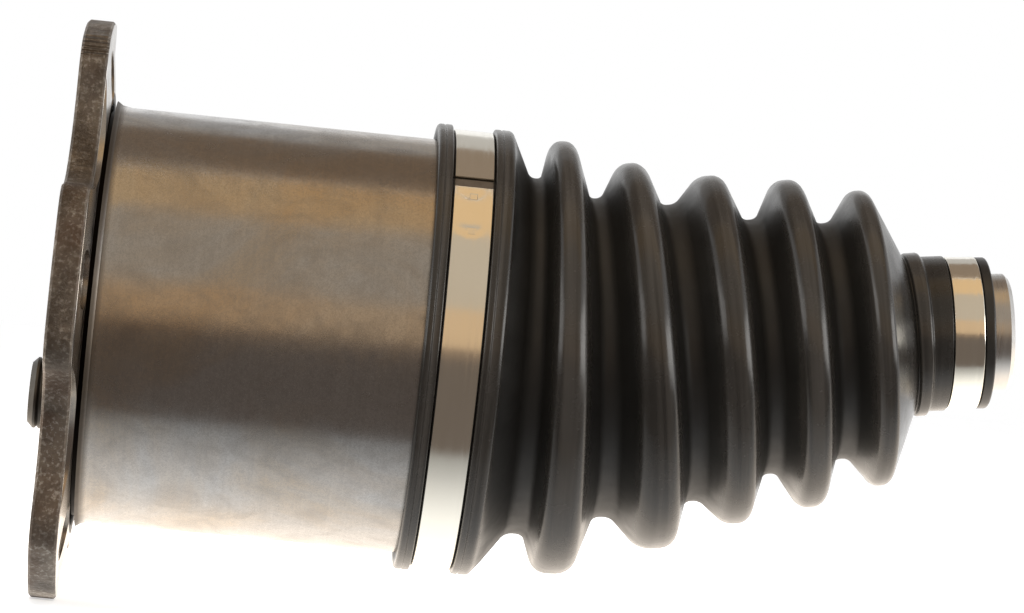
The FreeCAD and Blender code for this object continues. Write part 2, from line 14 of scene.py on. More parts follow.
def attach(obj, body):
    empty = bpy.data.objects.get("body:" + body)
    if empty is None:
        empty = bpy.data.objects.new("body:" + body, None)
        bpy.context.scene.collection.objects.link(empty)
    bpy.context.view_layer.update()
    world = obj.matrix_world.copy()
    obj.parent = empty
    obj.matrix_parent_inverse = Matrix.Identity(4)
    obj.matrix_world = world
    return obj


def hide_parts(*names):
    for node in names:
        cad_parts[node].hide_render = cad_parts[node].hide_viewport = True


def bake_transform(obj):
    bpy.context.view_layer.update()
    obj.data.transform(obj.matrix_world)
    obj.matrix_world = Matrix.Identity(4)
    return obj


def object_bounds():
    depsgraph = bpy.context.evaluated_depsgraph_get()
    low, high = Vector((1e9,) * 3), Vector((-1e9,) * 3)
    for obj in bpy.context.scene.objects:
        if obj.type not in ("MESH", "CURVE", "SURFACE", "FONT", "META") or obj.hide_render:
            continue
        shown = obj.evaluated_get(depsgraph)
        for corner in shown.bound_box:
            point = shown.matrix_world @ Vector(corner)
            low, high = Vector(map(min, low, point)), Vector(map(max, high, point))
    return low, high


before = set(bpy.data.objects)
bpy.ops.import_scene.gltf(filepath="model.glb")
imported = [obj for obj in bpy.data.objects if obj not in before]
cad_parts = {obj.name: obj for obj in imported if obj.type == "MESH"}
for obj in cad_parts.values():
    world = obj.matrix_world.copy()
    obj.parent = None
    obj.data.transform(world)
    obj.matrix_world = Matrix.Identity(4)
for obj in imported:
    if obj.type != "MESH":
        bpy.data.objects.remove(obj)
cad_box = [list(corner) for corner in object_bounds()]
MM = 0.001

# %% [markdown]
# Sizes come first, in millimetres as a workshop would write them. They are the same as in the source of
# the solids, because the boot has to sit on the housing, hug the bar and bend along the same line.

# %% Sizes of the housing, the bar and the joint
can_radius = 47.1
can_start = 8.4
can_end = 95.8
flange_thickness = 6.2
flange_front = 7.4
bar_radius = 13.9
joint_x = 69.4
joint_z = 0.16591
resting_tilt = math.radians(6.4)
print("the bar rests at", round(math.degrees(resting_tilt), 1), "degrees")

# %% [markdown]
# The photograph is taken from a metre away with a long lens, level with the joint and almost square to
# it, and the joint drops to the right in the picture. So the camera stands a few degrees to the left,
# looks at the middle of the joint, and is then rolled about its own axis.

# %% Camera
PHOTO_WIDTH = 1024
SENSOR_WIDTH = 36
view_turn = math.radians(-3.3)
view_roll = math.radians(5.78)
view_distance = 1.014
focal_pixels = 4456
aim = Vector((101.8, 0, 11.06)) * MM

camera_data = bpy.data.cameras.new("photo_camera")
camera = bpy.data.objects.new("photo_camera", camera_data)
bpy.context.collection.objects.link(camera)
back = Vector((math.sin(view_turn), -math.cos(view_turn), 0))
look = (-back).to_track_quat("-Z", "Y").to_matrix().to_4x4()
roll = Matrix.Rotation(view_roll, 4, "Z")
camera.matrix_world = Matrix.Translation(aim + back * view_distance) @ look @ roll
camera_data.sensor_width = SENSOR_WIDTH
camera_data.lens = focal_pixels / PHOTO_WIDTH * SENSOR_WIDTH
bpy.context.scene.camera = camera
bpy.context.scene.view_settings.view_transform = "Standard"
print("lens", round(camera_data.lens, 1), "mm")

# %% [markdown]
# Every finish below is a small web of shader nodes. One helper makes a node, sets its fields and wires
# its inputs, so that a finish can be read from top to bottom like a recipe.


# %% Helpers for finishes
class Recipe:
    """A material with its node tree, and short ways to add nodes to it."""

    def __init__(self, name):
        self.material = bpy.data.materials.new(name)
        self.material.use_nodes = True
        self.tree = self.material.node_tree
        self.shader = self.tree.nodes["Principled BSDF"]
        self.place = self.node("ShaderNodeTexCoord").outputs["Object"]

    def node(self, kind, inputs=None, **fields):
        """A node with its fields set, and its inputs set or wired."""
        made = self.tree.nodes.new(kind)
        for field, value in fields.items():
            setattr(made, field, value)
        for key, value in (inputs or {}).items():
            self.wire(value, made.inputs[key])
        return made

    def wire(self, value, socket):
        """A value put on a socket, or a node's output wired to it."""
        if isinstance(value, bpy.types.NodeSocket):
            self.tree.links.new(value, socket)
        else:
            socket.default_value = value

    def stretched(self, scale, source=None):
        """The place on the piece, stretched by a different factor along each axis."""
        mapping = self.node("ShaderNodeMapping", {"Vector": source or self.place, "Scale": scale})
        return mapping.outputs["Vector"]

    def noise(self, scale, detail=3.0, rough=0.5, source=None, twist=0.0):
        """A cloudy value between nothing and one."""
        inputs = {"Vector": source or self.place, "Scale": scale, "Detail": detail, "Roughness": rough}
        inputs["Distortion"] = twist
        return self.node("ShaderNodeTexNoise", inputs).outputs["Fac"]

    def between(self, value, low, high, to_low=0.0, to_high=1.0):
        """A value between two limits, spread over another range."""
        inputs = {"Value": value, "From Min": low, "From Max": high, "To Min": to_low, "To Max": to_high}
        return self.node("ShaderNodeMapRange", inputs, clamp=True).outputs["Result"]

    def plus(self, first, second):
        """Two values added."""
        return self.node("ShaderNodeMath", {0: first, 1: second}, operation="ADD").outputs["Value"]

    def times(self, first, second):
        """Two values multiplied."""
        return self.node("ShaderNodeMath", {0: first, 1: second}, operation="MULTIPLY").outputs["Value"]

    def mixed(self, share, first, second, data_type="RGBA"):
        """Two colours mixed by a share, or two values where the type is FLOAT."""
        inputs = {"Factor": share, "A": first, "B": second}
        return self.node("ShaderNodeMix", inputs, data_type=data_type).outputs["Result"]

    def finish(self, colour, roughness, bump=None, depth=0.0, **constants):
        """The last step: colour, roughness, relief and constant values on the shader."""
        self.wire(colour, self.shader.inputs["Base Color"])
        self.wire(roughness, self.shader.inputs["Roughness"])
        if bump is not None:
            relief = self.node("ShaderNodeBump", {"Height": bump, "Distance": depth})
            self.wire(relief.outputs["Normal"], self.shader.inputs["Normal"])
        for name, value in constants.items():
            self.shader.inputs[name.replace("_", " ")].default_value = value
        return self.material


def paint(colour):
    """A colour with full cover, for a socket."""
    return (*colour, 1.0)


print("recipe helper ready")

# %% [markdown]
# The background is plain white paper. The camera and any shiny surface see it at full strength, while
# its soft light falls on the joint at about half of that, so that dull surfaces aren't washed out.

# %% Background
SOFT_STRENGTH, SHARP_STRENGTH = 0.55, 1.0
world = bpy.data.worlds.new("paper_white")
bpy.context.scene.world = world
world.use_nodes = True
sky = world.node_tree
sky.nodes.clear()


def add_to_sky(kind, **fields):
    """A node of the background."""
    made = sky.nodes.new(kind)
    for field, value in fields.items():
        setattr(made, field, value)
    return made


ray = add_to_sky("ShaderNodeLightPath")
either = add_to_sky("ShaderNodeMath", operation="MAXIMUM")
any_sharp = add_to_sky("ShaderNodeMath", operation="MAXIMUM")
sky.links.new(ray.outputs["Is Camera Ray"], either.inputs[0])
sky.links.new(ray.outputs["Is Glossy Ray"], either.inputs[1])
sky.links.new(either.outputs[0], any_sharp.inputs[0])
sky.links.new(ray.outputs["Is Transmission Ray"], any_sharp.inputs[1])
soft = add_to_sky("ShaderNodeBackground")
sharp = add_to_sky("ShaderNodeBackground")
for background, strength in ((soft, SOFT_STRENGTH), (sharp, SHARP_STRENGTH)):
    background.inputs["Color"].default_value = (1, 1, 1, 1)
    background.inputs["Strength"].default_value = strength
mix = add_to_sky("ShaderNodeMixShader")
sky.links.new(any_sharp.outputs[0], mix.inputs["Fac"])
sky.links.new(soft.outputs[0], mix.inputs[1])
sky.links.new(sharp.outputs[0], mix.inputs[2])
sky.links.new(mix.outputs[0], add_to_sky("ShaderNodeOutputWorld").inputs["Surface"])
print("background of", len(sky.nodes), "nodes")

# %% [markdown]
# The floor is paper too. It has a little glow of its own, and more of it where the camera looks, so that
# it reads white and still keeps the joint's shadow.

# %% Floor
FLOOR_SIZE = 8
UNDER_THE_JOINT = 0.0002
floor_level = cad_box[0][2]
bpy.ops.mesh.primitive_plane_add(size=FLOOR_SIZE, location=(0, 0, floor_level - UNDER_THE_JOINT))
floor = bpy.context.object
floor.name = "floor"
paper = Recipe("floor_paper")
shade = paper.mixed(paper.noise(60.0, detail=2.0), paint((0.86, 0.86, 0.86)), paint((0.9, 0.9, 0.9)))
camera_ray = paper.node("ShaderNodeLightPath").outputs["Is Camera Ray"]
paper.wire(paper.between(camera_ray, 0.0, 1.0, 0.3, 0.46), paper.shader.inputs["Emission Strength"])
floor.data.materials.append(paper.finish(shade, 0.9, Emission_Color=(1, 1, 1, 1)))
print("floor at", round(floor_level / MM, 1), "mm")

# %% [markdown]
# Turned steel is a mirror with a fog on it: what it shows is the room. A product photographer stands
# large cards round it for that reason. A card here is one glowing face that shows in reflections only.
# Its glow is even, or it changes along Y through a colour ramp.


# %% A card that steel mirrors
def glow_along_y(recipe, stops, strength):
    """A colour that changes along Y, drawn through stops of (place, glow, tint)."""
    first, last = stops[0][0], stops[-1][0]
    along = recipe.node("ShaderNodeSeparateXYZ", {"Vector": recipe.place}).outputs["Y"]
    ramp = recipe.node("ShaderNodeValToRGB", {"Fac": recipe.between(along, first, last)})
    points = ramp.color_ramp.elements
    for _ in stops[2:]:
        points.new(0.5)
    for point, (spot, glow, tint) in zip(points, stops):
        point.position = (spot - first) / (last - first)
        point.color = (*(glow / strength * part for part in tint), 1)
    return ramp.outputs["Color"]


def card(name, corners, strength, colour=None, stops=()):
    """A flat glowing card, seen in reflections only, with one colour or with stops along Y."""
    mesh = bpy.data.meshes.new(name)
    bm = bmesh.new()
    bm.faces.new([bm.verts.new(corner) for corner in corners])
    bm.to_mesh(mesh)
    bm.free()
    obj = bpy.data.objects.new(name, mesh)
    bpy.context.collection.objects.link(obj)
    recipe = Recipe(name)
    glow = glow_along_y(recipe, stops, strength) if stops else paint(colour)
    light = recipe.node("ShaderNodeEmission", {"Color": glow, "Strength": strength})
    recipe.wire(light.outputs[0], recipe.tree.nodes["Material Output"].inputs["Surface"])
    mesh.materials.append(recipe.material)
    obj.visible_camera = obj.visible_diffuse = obj.visible_shadow = False


print("card helper ready")

# %% [markdown]
# Six cards stand over the joint like the staves of a barrel. Each spans a range of heights, counted in
# degrees from the camera's level over the top to the back, and each makes one band on the cup: brown,
# tan, cream and grey, as the room did in the photograph. A narrow gap between the tan and the brown
# card lets a fine light line of the white room through.

# %% Cards over the joint
CARD_DISTANCE = 0.85
CARD_LEFT, CARD_RIGHT = -0.75, 0.95


def height_card(name, low, high, colour, strength):
    """A card that spans two heights in degrees, at one distance from the joint's axis."""
    corners = []
    for degrees, ends in ((low, (CARD_LEFT, CARD_RIGHT)), (high, (CARD_RIGHT, CARD_LEFT))):
        turn = math.radians(degrees)
        for x in ends:
            corners.append((x, -CARD_DISTANCE * math.cos(turn), CARD_DISTANCE * math.sin(turn)))
    card(name, corners, strength, colour)


height_card("level_card", -4.4, 1, (1.0, 0.74, 0.56), 0.20)
height_card("low_tan_card", 1, 21, (1.0, 0.72, 0.46), 0.60)
height_card("cream_card", 21, 62, (1.0, 0.86, 0.70), 0.50)
height_card("tan_card", 62, 90, (1.0, 0.70, 0.40), 0.70)
height_card("brown_card", 91, 128, (1.0, 0.78, 0.60), 0.25)
height_card("grey_card", 128, 150, (1.0, 0.97, 0.94), 0.50)
print("six cards stand over the joint")

# %% [markdown]
# The lower half of the cup mirrors the floor. A sheet just over it is brown and dim in front and grows
# white and bright under the joint, which gives the cup its dark band and its bright belly. Two narrow
# windows at the sides put long highlights on the ribs of the rubber.

# %% Sheet on the floor and side windows
OVER_THE_FLOOR = 0.0005
SHEET_STRENGTH = 2.3
SHEET_LEFT, SHEET_RIGHT = -0.8, 1.0
dim_brown, plain_white, warm_white = (1.0, 0.82, 0.70), (1.0, 0.99, 0.97), (1.0, 0.90, 0.79)
sheet_glow = [
    (-0.9, 0.13, dim_brown),
    (-0.076, 0.14, dim_brown),
    (-0.069, 0.36, plain_white),
    (-0.056, 0.52, plain_white),
    (-0.026, 1.10, plain_white),
    (0.0, 1.8, warm_white),
    (0.25, 2.3, warm_white),
]
sheet_front, sheet_back = sheet_glow[0][0], sheet_glow[-1][0]
sheet_height = floor_level + OVER_THE_FLOOR
sheet_corners = [
    (SHEET_LEFT, sheet_front, sheet_height),
    (SHEET_RIGHT, sheet_front, sheet_height),
    (SHEET_RIGHT, sheet_back, sheet_height),
    (SHEET_LEFT, sheet_back, sheet_height),
]
card("ground_card", sheet_corners, SHEET_STRENGTH, stops=sheet_glow)

WINDOW_HEIGHT = 0.33
windows = [
    ("left_window", (-0.45, -0.62), (-0.62, -0.05), 2.6),
    ("right_window", (0.77, -0.62), (0.94, -0.05), 4.8),
]
for name, near, far, strength in windows:
    corners = [(*near, 0.0), (*far, 0.0), (*far, WINDOW_HEIGHT), (*near, WINDOW_HEIGHT)]
    card(name, corners, strength, (1.0, 0.98, 0.95))
print("sheet from", sheet_front, "to", sheet_back, "and", len(windows), "windows")

# %% [markdown]
# Three large lamps light what isn't a mirror: the rubber, the rough rim of the flange and the floor.
# They are hidden from reflections, because the cards already say what the steel shows.


# %% Lamps
def lamp(name, place, size, power, colour):
    """A large square lamp aimed at the middle of the joint."""
    data = bpy.data.lights.new(name, "AREA")
    data.size = size
    data.energy = power
    data.color = colour
    obj = bpy.data.objects.new(name, data)
    bpy.context.collection.objects.link(obj)
    obj.location = place
    obj.rotation_euler = (Vector(place) - aim).to_track_quat("Z", "Y").to_euler()
    obj.visible_glossy = False


lamp("top_lamp", (0.1, -0.15, 1.1), 0.9, 11, (1.0, 0.97, 0.93))
lamp("front_lamp", (-0.2, -1.2, 0.5), 0.8, 3.5, (1.0, 0.97, 0.94))
lamp("back_lamp", (0.4, 0.9, 0.5), 0.8, 6, (1.0, 1.0, 1.0))
print(len(bpy.data.lights), "lamps stand")

# %% [markdown]
# The boot is a moulded bellows. A moulder thinks of it as one line, the section of its wall, turned
# about an axis. It is made straight first, because a straight bellows is easy to measure, and bent
# afterwards. Its places are counted along the housing's axis: a cuff on the housing, five ribs that
# grow smaller, and a cuff on the bar.

# %% Sizes of the boot
boot_wall = 2.3
boot_start = can_end - 15.1
seat_radius = can_radius + 1.9
rim_radius = seat_radius + 1.8
ridge_radius = rim_radius - 0.1
seat_start = boot_start + 3.7
seat_end = seat_start + 9.1
shoulder_end = can_end + 2.6
small_seat_radius = bar_radius + 2.7
neck_radius = small_seat_radius + 1.1
lip_radius = small_seat_radius + 0.7
neck_start = can_end + 97.7
back_from = can_end + 98.7
back_done = back_from + 7.5
small_seat_start = back_done - 0.1
small_seat_end = small_seat_start + 7.2
boot_end = small_seat_end + 2.4
# Place beyond the can's end and outer radius of each valley and peak, with the half width of the tip
valleys = [(9.9, 40.5), (26.6, 36.3), (45.3, 33.9), (63.6, 29.1), (80.3, 27.0)]
peaks = [(17.2, 49.2, 3.2), (36.8, 44.0, 3.2), (55.0, 39.8, 2.5), (72.4, 37.5, 2.5), (88.7, 33.8, 1.7)]
valley_half = 1.8
print("the boot is", round(boot_end - boot_start, 1), "mm long")

# %% [markdown]
# The section is typed in as corners. Each corner is a place, a radius and how far it will be rounded.
# The outer line has the detail: two rims beside the clamp's seat with a fine line round each, the ribs,
# and a small collar before the seat on the bar.

# %% Outer corners of the section
FINE_LINE = 0.25


def fine_line(place, radius):
    """Three corners that cut a fine line round a rim."""
    return [
        (place - FINE_LINE, radius, 0.1),
        (place, radius - FINE_LINE, 0.1),
        (place + FINE_LINE, radius, 0.1),
    ]


def outer_corners():
    """Corners of the boot's outer line, from the cuff on the housing to the cuff on the bar."""
    corners = [(boot_start, rim_radius - 0.5, 0.3), (boot_start + 0.5, rim_radius, 0.3)]
    corners += fine_line(boot_start + 1.75, rim_radius)
    corners += [
        (seat_start - 0.35, rim_radius, 0.25),
        (seat_start, seat_radius, 0.1),
        (seat_end, seat_radius, 0.1),
        (seat_end + 0.35, ridge_radius, 0.25),
    ]
    corners += fine_line(seat_end + 1.85, ridge_radius)
    corners += [
        (shoulder_end - 0.8, ridge_radius, 0.7),
        (shoulder_end + 0.9, ridge_radius - 2.6, 0.8),
    ]
    for (valley, floor_radius), (peak, top, half) in zip(valleys, peaks):
        low, high = can_end + valley, can_end + peak
        corners += [
            (low - valley_half, floor_radius, 1.4),
            (low + valley_half, floor_radius, 1.4),
            (high - half, top, 0.74 * half),
            (high + half, top, 0.74 * half),
        ]
    corners += [
        (neck_start, neck_radius, 0.5),
        (neck_start + 0.5, neck_radius + 1.0, 0.3),
        (neck_start + 3.2, neck_radius + 1.0, 0.4),
        (neck_start + 3.7, neck_radius, 0.2),
        (small_seat_start - 0.2, neck_radius, 0.15),
        (small_seat_start, small_seat_radius, 0.1),
        (small_seat_end, small_seat_radius, 0.1),
        (small_seat_end + 0.2, lip_radius, 0.1),
        (boot_end, lip_radius, 0.6),
    ]
    return corners


print(len(outer_corners()), "outer corners")

# %% [markdown]
# The inner line is plainer. It runs one wall's thickness inside the ribs, and lies on the housing and on
# the bar at its two ends.

# %% Inner corners of the section
ON_THE_CAN = 0.05
ON_THE_BAR = 0.1


def inner_corners():
    """Corners of the boot's inner line, from the cuff on the housing to the cuff on the bar."""
    can, bar = can_radius + ON_THE_CAN, bar_radius + ON_THE_BAR
    corners = [
        (boot_start, can, 0.1),
        (can_end + 0.05, can, 0.1),
        (can_end + 0.15, can - boot_wall, 0.1),
        (shoulder_end - 0.9, can - boot_wall, 0.5),
    ]
    for (valley, floor_radius), (peak, top, half) in zip(valleys, peaks):
        low, high = can_end + valley, can_end + peak
        corners += [
            (low - valley_half - 1.4, floor_radius - boot_wall, 1.0),
            (low + valley_half + 1.4, floor_radius - boot_wall, 1.0),
            (high - 0.6 * half, top - boot_wall, 0.45 * half),
            (high + 0.6 * half, top - boot_wall, 0.45 * half),
        ]
    corners += [
        (neck_start - 1.1, small_seat_radius - 0.3, 0.4),
        (back_done, bar, 0.3),
        (boot_end, bar, 0.1),
    ]
    return corners


print(len(inner_corners()), "inner corners")

# %% [markdown]
# With the shaft at its angle the bellows bends up, runs straight and comes back onto the bar. Its middle
# line is a heading that changes evenly along it, and a point on the line is the sum of many short steps
# along that heading.

# %% Middle line of the boot
ROUTE_STEP = 0.5
bend_from = can_end + 2.1
bend_full = bend_from + 37.3


def heading(along, bow):
    """The boot's direction at one place, in radians above level."""
    if along <= bend_from:
        return 0.0
    if along <= bend_full:
        return bow * (along - bend_from) / (bend_full - bend_from)
    if along <= back_from:
        return bow
    if along <= back_done:
        return bow + (resting_tilt - bow) * (along - back_from) / (back_done - back_from)
    return resting_tilt


def middle(along, bow):
    """The point of the boot's middle line at one place, in millimetres."""
    steps = max(1, int(along / ROUTE_STEP))
    step = along / steps
    turns = [heading((n + 0.5) * step, bow) for n in range(steps)]
    return Vector((sum(math.cos(t) for t in turns) * step, 0, sum(math.sin(t) for t in turns) * step))


print("the boot bends from", round(bend_from, 1), "to", round(bend_full, 1), "mm")

# %% [markdown]
# One unknown is left, how far the line bows. The bar's own line passes through the middle of the joint
# at the resting tilt, and halving the guess finds the bow that brings the boot's small end onto it.

# %% Bow of the boot
HALVINGS = 50


def height_over_bar(bow):
    """How high the boot's small end lies over the bar's own line."""
    reach = middle(back_done, bow) - Vector((joint_x, 0, joint_z))
    return reach.z * math.cos(resting_tilt) - reach.x * math.sin(resting_tilt)


low_bow, high_bow = -1.0, 1.0
for _ in range(HALVINGS):
    boot_bow = (low_bow + high_bow) / 2
    if height_over_bar(boot_bow) < 0:
        low_bow = boot_bow
    else:
        high_bow = boot_bow
print("bow", round(math.degrees(boot_bow), 2), "degrees")

# %% [markdown]
# Two helpers serve the boot and the clamps alike. The first draws a closed section and rounds its
# corners with a vertex bevel. The second makes a spun shape smooth to the eye, and keeps an edge sharp
# where two faces meet at a wide angle or where a length of the boot is cut.


# %% Round a section, smooth a shape
def rounded_section(outline, segments):
    """A closed wire from (x, radius, rounding) corners, in millimetres, drawn over the X axis."""
    bm = bmesh.new()
    verts = [bm.verts.new((x, 0, radius)) for x, radius, _ in outline]
    for first, second in zip(verts, verts[1:] + verts[:1]):
        bm.edges.new((first, second))
    for vert, (_, _, rounding) in zip(verts, outline):
        if rounding:
            bmesh.ops.bevel(
                bm, geom=[vert], offset=rounding, offset_type="OFFSET", segments=segments, profile=0.5,
                affect="VERTICES", material=-1, clamp_overlap=False,
            )
    return bm


def smooth_shape(bm, sharp_degrees, cuts=()):
    """Normals outwards, smooth faces, and sharp edges at wide angles and at the cuts."""
    bmesh.ops.recalc_face_normals(bm, faces=bm.faces)
    for face in bm.faces:
        face.smooth = True
    for edge in bm.edges:
        on_cut = any(all(abs(vert.co.x - cut) < 0.001 for vert in edge.verts) for cut in cuts)
        edge.smooth = not on_cut and edge.calc_face_angle(0) <= math.radians(sharp_degrees)


print("section helpers ready")

# %% [markdown]
# The boot crosses three joints: the tripod slides, tips and swings in the housing. Each blend can cross
# one joint only, so the bellows is made as three lengths that meet on top of a rib, where the rubber is
# flat. The edge of each cut is sharp, so that the hidden end face doesn't bend the light on the
# outside, and a highlight runs over the seam unbroken.

# %% Cut and spin the boot
BOOT_STEPS = 168
BOOT_ROUND_SEGMENTS = 4
BOOT_SHARP_DEGREES = 50
MERGE_DISTANCE = 0.0005
cut_places = [can_end + peaks[1][0], can_end + peaks[2][0]]


def boot_length(low, high):
    """The closed section of the boot between two places, cut square through a rib."""
    outer = [corner for corner in outer_corners() if low <= corner[0] <= high]
    inner = [corner for corner in inner_corners() if low <= corner[0] <= high]
    for place, top, _ in peaks:
        if can_end + place == low:
            outer.insert(0, (low, top, 0))
            inner.insert(0, (low, top - boot_wall, 0))
        if can_end + place == high:
            outer.append((high, top, 0))
            inner.append((high, top - boot_wall, 0))
    return outer + inner[::-1]


def spin_boot(outline):
    """A straight length of the boot, spun about X by a full turn, in millimetres."""
    bm = rounded_section(outline, BOOT_ROUND_SEGMENTS)
    bmesh.ops.spin(
        bm, geom=bm.verts[:] + bm.edges[:], cent=(0, 0, 0), axis=(1, 0, 0), dvec=(0, 0, 0),
        angle=2 * math.pi, steps=BOOT_STEPS, use_merge=True, use_duplicate=False,
    )
    bmesh.ops.remove_doubles(bm, verts=bm.verts, dist=MERGE_DISTANCE)
    smooth_shape(bm, BOOT_SHARP_DEGREES, cut_places)
    return bm


print("the boot is cut at", [round(place, 1) for place in cut_places], "mm")

# %% [markdown]
# Bending moves each ring of points onto the middle line and turns it to the heading there. Two things
# are stored on the points on the way, because the finish needs them: how near a point is to the top of
# its rib, since ribs rub and go grey and the finish also paints the tops lighter and the valleys darker
# as painted light and shade, and where the point was while the boot was straight, so that patterns
# follow the moulded shape.


# %% Lay the boot along its middle line
def value_between(points, place):
    """The height at one place of a line drawn through (place, height) points."""
    for (start, low), (end, high) in zip(points, points[1:]):
        if place <= end:
            return low + (high - low) * max(0.0, (place - start) / (end - start))
    return points[-1][1]


crests = [(shoulder_end, rim_radius)]
crests += [(can_end + place, top) for place, top, _ in peaks]
crests.append((neck_start, small_seat_radius + 2.1))
troughs = [(shoulder_end, rim_radius - 2.6)]
troughs += [(can_end + place, floor_radius) for place, floor_radius in valleys]
troughs.append((neck_start, small_seat_radius - 1.0))


def bend_along_middle(bm):
    """A straight bellows bent; each point keeps how high it sits on its rib, for wear and painted shade,
    and its straight place.
    """
    stations = {}
    wear_and_shade_layer = bm.verts.layers.float.new("wear_and_shade")
    moulded_layer = bm.verts.layers.float_vector.new("moulded")
    for vert in bm.verts:
        key = round(vert.co.x, 4)
        if key not in stations:
            point, turn = middle(key, boot_bow), heading(key, boot_bow)
            stations[key] = (point, turn, value_between(crests, key), value_between(troughs, key))
        point, turn, crest, trough = stations[key]
        _, side, up = vert.co
        vert[moulded_layer] = vert.co * MM
        vert[wear_and_shade_layer] = min(1.0, max(0.0, (math.hypot(side, up) - trough) / (crest - trough)))
        vert.co = point + Vector((-math.sin(turn) * up, side, math.cos(turn) * up))


def make_piece(name, bm, material):
    """An object in metres from a bmesh in millimetres, with its finish."""
    bmesh.ops.scale(bm, vec=(MM, MM, MM), verts=bm.verts)
    mesh = bpy.data.meshes.new(name)
    bm.to_mesh(mesh)
    bm.free()
    obj = bpy.data.objects.new(name, mesh)
    bpy.context.collection.objects.link(obj)
    mesh.materials.append(material)
    print(name, len(mesh.polygons), "faces")
    return obj


print("crests", len(crests), "troughs", len(troughs))

# %% [markdown]
# Used rubber isn't plain black. The valleys are nearly black and dull with dust, and darker still from
# painted shade. The ribs go to a warm grey towards their tops, partly scuffed and partly painted light,
# with faint rings from the mould and a soft gloss that is a little uneven.

# %% Rubber
rubber = Recipe("satin_rubber")
moulded_place = rubber.node("ShaderNodeAttribute", attribute_name="moulded").outputs["Vector"]
wear_and_shade = rubber.node("ShaderNodeAttribute", attribute_name="wear_and_shade").outputs["Fac"]
dust = rubber.noise(26.0, detail=5.0, rough=0.6, source=moulded_place)
film = rubber.noise(180.0, detail=4.0, rough=0.6, source=moulded_place)
rings = rubber.noise(1.0, detail=3.0, source=rubber.stretched((700, 12, 12), moulded_place))
# Share of the rib-top colour by height on the rib: partly wear, partly painted light on the tops and
# painted shade in the valleys.
scuffed_and_lit = rubber.between(rubber.plus(wear_and_shade, rubber.between(dust, 0.3, 0.7, -0.12, 0.12)), 0.5, 1.0)
black = rubber.mixed(
    rubber.between(dust, 0.35, 0.7), paint((0.006, 0.0053, 0.0045)), paint((0.013, 0.0115, 0.0095))
)
scuff_and_lit_colour = rubber.mixed(
    rubber.between(rings, 0.35, 0.65), paint((0.016, 0.0135, 0.011)), paint((0.036, 0.031, 0.026))
)
rubber_rough = rubber.plus(
    rubber.between(film, 0.3, 0.7, 0.2, 0.31), rubber.between(wear_and_shade, 0.1, 0.7, 0.25, 0.0)
)
rubber_relief = rubber.plus(rubber.times(film, 0.6), rubber.times(rings, 0.5))
rubber.finish(
    rubber.mixed(scuffed_and_lit, black, scuff_and_lit_colour), rubber_rough, rubber_relief, 0.00008, Specular_IOR_Level=0.5
)
print("rubber of", len(rubber.tree.nodes), "nodes")

# %% [markdown]
# Each length is spun and bent. Its entry also names the two bodies that its joint connects and a span
# for a blend between them: on the first it starts where the cuff lets go of the housing, on the last it
# ends before the fifth rib, so that the thin end of the boot would move with the bar and the bar would
# stay inside it at every angle. This loop reads none of these and blends nothing.

# %% Three lengths of the boot
cuff_lets_go = shoulder_end + 1.0
neck_holds = can_end + 84.0
lengths = [
    ("boot_cuff_length", boot_start, cut_places[0], "housing", "ring_1", cuff_lets_go, cut_places[0]),
    ("boot_middle_length", *cut_places, "ring_1", "roller_1", *cut_places),
    ("boot_neck_length", cut_places[1], boot_end, "roller_1", "shaft", cut_places[1], neck_holds),
]
for name, low, high, first_body, second_body, start, end in lengths:
    bm = spin_boot(boot_length(low, high))
    bend_along_middle(bm)
    piece = make_piece(name, bm, rubber.material)
    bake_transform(piece)
    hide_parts("boot")

# %% [markdown]
# The clamps are strips of polished steel, rolled into rings with their edges rounded over. One section
# of the strip is spun, but not by a full turn, and the two open ends are filled with faces. Two shallow
# squares are pressed into the large one: each is one face of the strip, inset and pushed in.

# %% Roll a strip
STRIP_ROUND_SEGMENTS = 3
STRIP_SHARP_DEGREES = 35
STRIP_LINE_HALF, STRIP_LINE_DEPTH, STRIP_LINE_FROM_EDGE = 0.12, 0.03, 1.4
SQUARE_HALF, SQUARE_MARGIN, SQUARE_DEPTH = 1.0, 0.3, 0.12
SQUARE_OFF_CENTRE = 0.3
SQUARE_OFF_DEGREES = 1.2
FACES_OUT = 0.9


def strip_section(inner, width, thickness):
    """The section of a clamp strip: rounded edges and one fine line near its right edge."""
    half, outer = width / 2, inner + thickness
    line = half - STRIP_LINE_FROM_EDGE
    return [
        (-half, inner, 0.2),
        (half, inner, 0.2),
        (half, outer, 0.25),
        (line + STRIP_LINE_HALF, outer, 0),
        (line, outer - STRIP_LINE_DEPTH, 0),
        (line - STRIP_LINE_HALF, outer, 0),
        (SQUARE_HALF, outer, 0),
        (-SQUARE_HALF, outer, 0),
        (-half, outer, 0.25),
    ]


def rolled_strip(outline, start_degrees, sweep_degrees, steps):
    """A strip rolled about X from its closed section, with both ends filled, in millimetres."""
    bm = rounded_section(outline, STRIP_ROUND_SEGMENTS)
    turn = Matrix.Rotation(math.radians(start_degrees - 90), 3, "X")
    bmesh.ops.rotate(bm, verts=bm.verts, cent=(0, 0, 0), matrix=turn)
    bmesh.ops.spin(
        bm, geom=bm.verts[:] + bm.edges[:], cent=(0, 0, 0), axis=(1, 0, 0), dvec=(0, 0, 0),
        angle=math.radians(sweep_degrees), steps=steps, use_merge=False, use_duplicate=False,
    )
    open_edges = [edge for edge in bm.edges if edge.is_boundary]
    bmesh.ops.holes_fill(bm, edges=open_edges, sides=0)
    smooth_shape(bm, STRIP_SHARP_DEGREES)
    return bm


